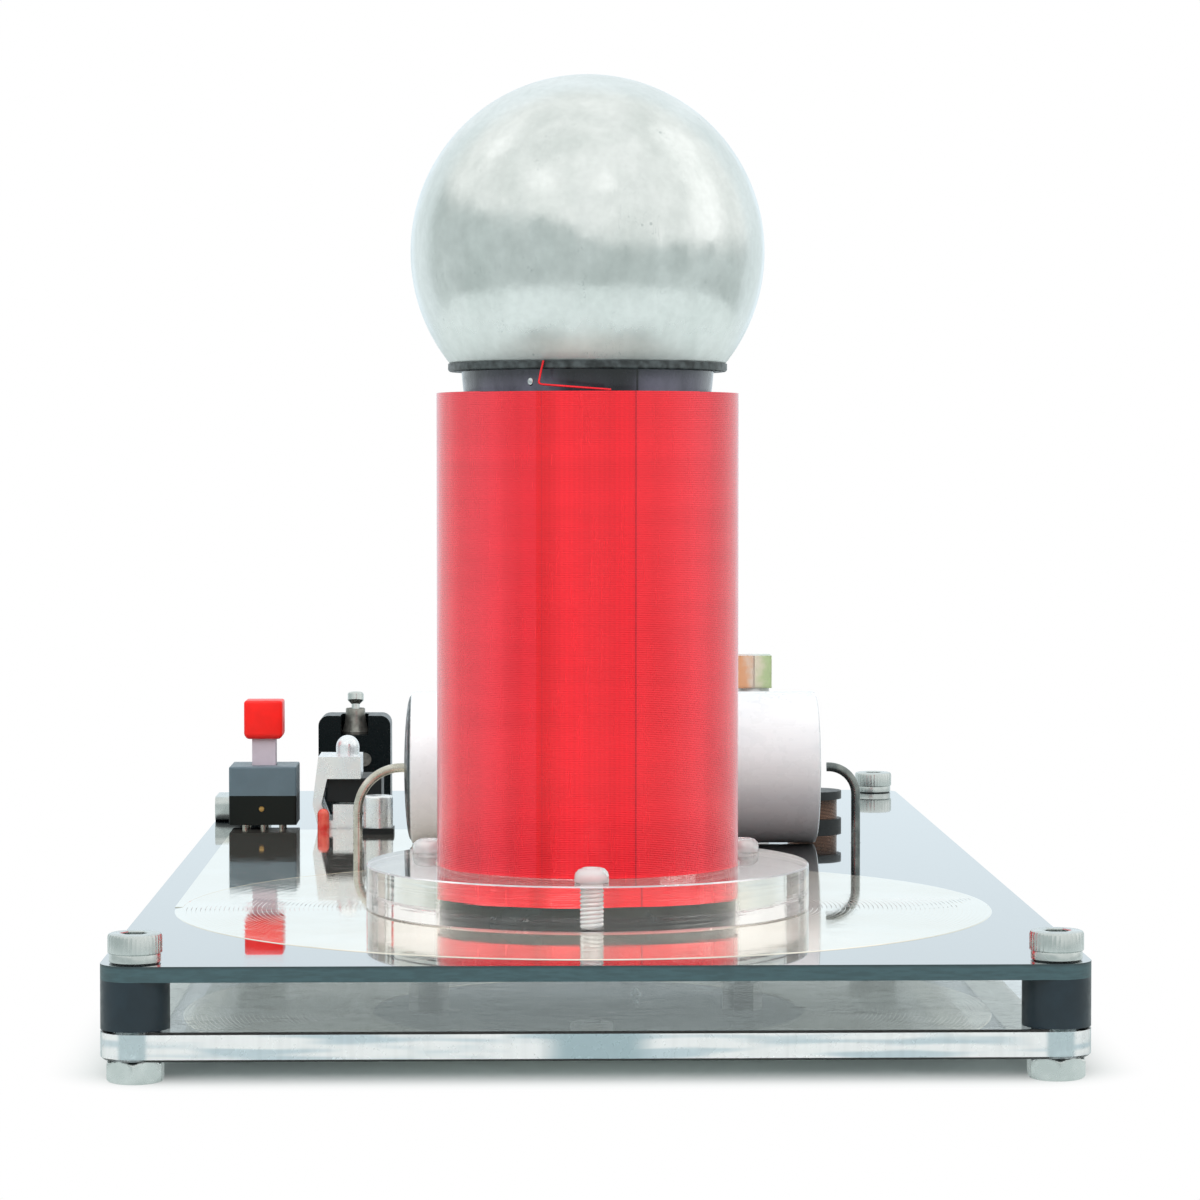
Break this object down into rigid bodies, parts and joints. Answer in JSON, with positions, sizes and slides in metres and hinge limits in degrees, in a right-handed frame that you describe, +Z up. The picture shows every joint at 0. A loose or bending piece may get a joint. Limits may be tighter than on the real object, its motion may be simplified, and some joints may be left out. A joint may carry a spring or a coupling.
{
  "type": "desktop resonant transformer",
  "caption": "Tall red air-cored coil with a hollow steel ball on a black circuit board, which a clear base plate carries on spacers, with its capacitor and switches behind.",
  "frame": {"origin": "under the middle of the circuit board, on the surface that the four corner nuts stand on", "axes": "+Z up along the coil, +Y from the front edge by the coil to the rear edge, +X to the right"},
  "size_m": [0.1, 0.2, 0.1057],
  "materials": {
    "clear_acrylic": "polished clear sheet with bright cut edges",
    "board_black": "glossy black solder mask",
    "tinned_copper": "pale tinned copper, circular fine grain",
    "black_nylon": "satin moulded",
    "stainless": "satin stainless",
    "ball_steel": "polished steel with smudges and fine scratches",
    "clear_nylon": "clear moulded",
    "black_tube": "semi-gloss black",
    "red_enamel": "red enamelled wire, hair-fine turns",
    "black_rubber": "matte",
    "white_wrap": "smooth white film wrap",
    "dark_epoxy": "poured epoxy",
    "tinned_wire": "bright tinned wire",
    "switch_grey": "semi-gloss dark grey",
    "switch_black": "semi-gloss black",
    "red_plastic": "gloss moulded",
    "white_nylon": "milky white moulded",
    "sink_aluminium": "bright satin",
    "brass_bushing": "nickel-plated, worn warm",
    "ferrite": "dark sintered",
    "copper_wire": "enamelled copper turns",
    "lamp_amber": "diffusing tinted lens",
    "lamp_green": "diffusing tinted lens",
    "resistor_coat": "lacquer coat",
    "solder": "bright solder"
  },
  "bodies": {
    "chassis": {"base_plate": "clear_acrylic", "circuit_board": "board_black", "plate_spacers": "black_nylon", "corner_screws": "stainless", "corner_nuts": "stainless", "primary_spiral": "tinned_copper", "return_spiral": "tinned_copper", "copper_pour": "tinned_copper", "clamp_ring": "clear_acrylic", "ring_screws": "clear_nylon", "ring_nuts": "clear_nylon", "coil_form": "black_tube", "secondary_winding": "red_enamel", "top_lead": "red_enamel", "base_lead": "red_enamel", "form_plug": "black_nylon", "ball_gasket": "black_rubber", "discharge_ball": "ball_steel", "capacitor_body": "white_wrap", "capacitor_ends": "dark_epoxy", "capacitor_lead_left": "tinned_wire", "capacitor_lead_right": "tinned_wire", "switch_base": "switch_black", "switch_housing": "switch_grey", "switch_pins": "tinned_wire", "switch_spring": "stainless", "heat_sink": "sink_aluminium", "transistor_body": "dark_epoxy", "transistor_legs": "tinned_wire", "transistor_screw": "stainless", "transistor_nut": "stainless", "indicator_led": "red_plastic", "toggle_body": "switch_black", "toggle_bushing": "brass_bushing", "toggle_rivet": "brass_bushing", "toggle_pins": "tinned_wire", "socket_shell": "stainless", "socket_tongue": "switch_black", "inductor_core": "ferrite", "inductor_winding": "copper_wire", "lamp_lens_amber": "lamp_amber", "lamp_lens_green": "lamp_green", "lamp_spacer": "white_nylon", "lamp_leads": "tinned_wire", "can_capacitor": "sink_aluminium", "can_base": "switch_black", "driver_chip": "dark_epoxy", "chip_legs": "tinned_wire", "resistor_bodies": "resistor_coat", "resistor_leads": "tinned_wire", "chip_resistors": "dark_epoxy", "bulk_capacitor": "switch_black", "bulk_legs": "tinned_wire", "solder_joints": "solder"},
    "push_button": {"switch_stem": "white_nylon", "switch_cap": "red_plastic"},
    "lever_arm": {"toggle_lever": "stainless"}
  },
  "joints": [
    {"name": "button_travel", "type": "slide", "parent": "chassis", "child": "push_button", "axis": [0, 0, -1], "range_m": [0, 0.0016], "stiffness_N_per_m": 600, "springref_m": -0.002, "deforming": ["switch_spring"]},
    {"name": "lever_tilt", "type": "hinge", "parent": "chassis", "child": "lever_arm", "pos_m": [-0.0319, 0.089, 0.0232], "axis": [1, 0, 0], "range_deg": [0, 25]}
  ]
}
